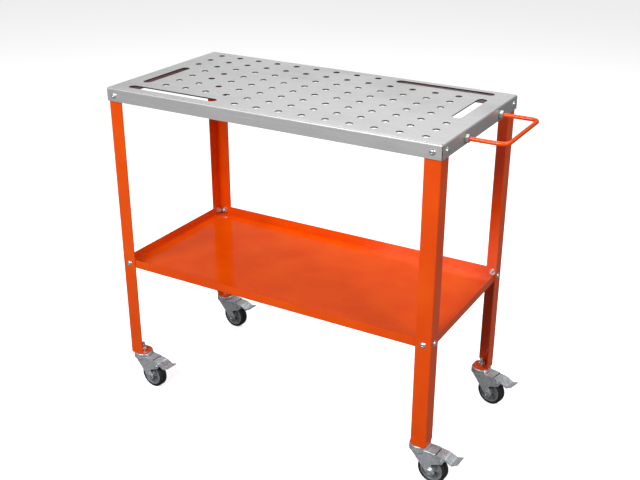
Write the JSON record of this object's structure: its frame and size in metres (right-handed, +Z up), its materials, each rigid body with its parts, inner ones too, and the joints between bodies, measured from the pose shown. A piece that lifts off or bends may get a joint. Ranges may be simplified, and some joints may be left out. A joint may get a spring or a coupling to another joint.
{
  "type": "welding table cart",
  "caption": "Rolling welding table: perforated steel worktop with clamp slots, angle legs, lower tray, push handle and braked swivel casters.",
  "frame": {"origin": "middle of the overall footprint at the floor", "axes": "+X along the long side towards the push handle, +Y to the back, +Z up"},
  "size_m": [1.0198, 0.466, 0.866],
  "materials": {
    "worktop_steel": "bare brushed sheet steel",
    "orange_powder_coat": "gloss orange powder coat",
    "bright_zinc": "bright zinc plate",
    "yellow_zinc": "yellow-green passivated zinc plate",
    "caster_zinc": "blue-white zinc plate on pressed steel",
    "bearing_steel": "ground and greased",
    "tyre_rubber": "satin black rubber",
    "hub_plastic": "moulded grey plastic"
  },
  "bodies": {
    "frame": {"worktop": "worktop_steel", "lower_tray": "orange_powder_coat", "push_handle": "orange_powder_coat", "handle_nuts": "bright_zinc", "handle_washers": "yellow_zinc", "frame_bolts": "bright_zinc", "frame_washers": "bright_zinc", "frame_nuts": "bright_zinc", "front_left_leg": "orange_powder_coat", "front_right_leg": "orange_powder_coat", "back_left_leg": "orange_powder_coat", "back_right_leg": "orange_powder_coat", "stem_nuts": "bright_zinc", "stem_washers": "bright_zinc", "front_left_stem": "bright_zinc", "front_left_race_cap": "caster_zinc", "front_right_stem": "bright_zinc", "front_right_race_cap": "caster_zinc", "back_left_stem": "bright_zinc", "back_left_race_cap": "caster_zinc", "back_right_stem": "bright_zinc", "back_right_race_cap": "caster_zinc"},
    "front_left_swivel": {"front_left_fork": "caster_zinc", "front_left_race_balls": "bearing_steel", "front_left_axle_bolt": "bright_zinc", "front_left_axle_nut": "bright_zinc", "front_left_axle_sleeve": "bearing_steel", "front_left_pedal_pin": "bright_zinc"},
    "front_left_wheel": {"front_left_hub": "hub_plastic", "front_left_tyre": "tyre_rubber"},
    "front_left_brake": {"front_left_brake_pedal": "caster_zinc"},
    "front_right_swivel": {"front_right_fork": "caster_zinc", "front_right_race_balls": "bearing_steel", "front_right_axle_bolt": "bright_zinc", "front_right_axle_nut": "bright_zinc", "front_right_axle_sleeve": "bearing_steel", "front_right_pedal_pin": "bright_zinc"},
    "front_right_wheel": {"front_right_hub": "hub_plastic", "front_right_tyre": "tyre_rubber"},
    "front_right_brake": {"front_right_brake_pedal": "caster_zinc"},
    "back_left_swivel": {"back_left_fork": "caster_zinc", "back_left_race_balls": "bearing_steel", "back_left_axle_bolt": "bright_zinc", "back_left_axle_nut": "bright_zinc", "back_left_axle_sleeve": "bearing_steel", "back_left_pedal_pin": "bright_zinc"},
    "back_left_wheel": {"back_left_hub": "hub_plastic", "back_left_tyre": "tyre_rubber"},
    "back_left_brake": {"back_left_brake_pedal": "caster_zinc"},
    "back_right_swivel": {"back_right_fork": "caster_zinc", "back_right_race_balls": "bearing_steel", "back_right_axle_bolt": "bright_zinc", "back_right_axle_nut": "bright_zinc", "back_right_axle_sleeve": "bearing_steel", "back_right_pedal_pin": "bright_zinc"},
    "back_right_wheel": {"back_right_hub": "hub_plastic", "back_right_tyre": "tyre_rubber"},
    "back_right_brake": {"back_right_brake_pedal": "caster_zinc"}
  },
  "joints": [
    {"name": "front_left_swivel_turn", "type": "hinge", "parent": "frame", "child": "front_left_swivel", "pos_m": [-0.4785, -0.2016, 0.092], "axis": [0, 0, 1], "continuous": true},
    {"name": "front_left_wheel_spin", "type": "hinge", "parent": "front_left_swivel", "child": "front_left_wheel", "pos_m": [-0.44071, -0.20557, 0.0375], "axis": [0.1045, 0.9945, 0], "continuous": true},
    {"name": "front_left_brake_press", "type": "hinge", "parent": "front_left_swivel", "child": "front_left_brake", "pos_m": [-0.41485, -0.20829, 0.076], "axis": [0.1045, 0.9945, 0], "range_deg": [0, 22]},
    {"name": "front_right_swivel_turn", "type": "hinge", "parent": "frame", "child": "front_right_swivel", "pos_m": [0.3819, -0.2016, 0.092], "axis": [0, 0, 1], "continuous": true},
    {"name": "front_right_wheel_spin", "type": "hinge", "parent": "front_right_swivel", "child": "front_right_wheel", "pos_m": [0.41985, -0.20359, 0.0375], "axis": [0.0523, 0.9986, 0], "continuous": true},
    {"name": "front_right_brake_press", "type": "hinge", "parent": "front_right_swivel", "child": "front_right_brake", "pos_m": [0.44581, -0.20495, 0.076], "axis": [0.0523, 0.9986, 0], "range_deg": [0, 22]},
    {"name": "back_left_swivel_turn", "type": "hinge", "parent": "frame", "child": "back_left_swivel", "pos_m": [-0.4785, 0.2016, 0.092], "axis": [0, 0, 1], "continuous": true},
    {"name": "back_left_wheel_spin", "type": "hinge", "parent": "back_left_swivel", "child": "back_left_wheel", "pos_m": [-0.44065, 0.19829, 0.0375], "axis": [0.0872, 0.9962, 0], "continuous": true},
    {"name": "back_left_brake_press", "type": "hinge", "parent": "back_left_swivel", "child": "back_left_brake", "pos_m": [-0.41474, 0.19602, 0.076], "axis": [0.0872, 0.9962, 0], "range_deg": [0, 22]},
    {"name": "back_right_swivel_turn", "type": "hinge", "parent": "frame", "child": "back_right_swivel", "pos_m": [0.3819, 0.2016, 0.092], "axis": [0, 0, 1], "continuous": true},
    {"name": "back_right_wheel_spin", "type": "hinge", "parent": "back_right_swivel", "child": "back_right_wheel", "pos_m": [0.41893, 0.19305, 0.0375], "axis": [0.225, 0.9744, 0], "continuous": true},
    {"name": "back_right_brake_press", "type": "hinge", "parent": "back_right_swivel", "child": "back_right_brake", "pos_m": [0.44426, 0.1872, 0.076], "axis": [0.225, 0.9744, 0], "range_deg": [0, 22]}
  ]
}
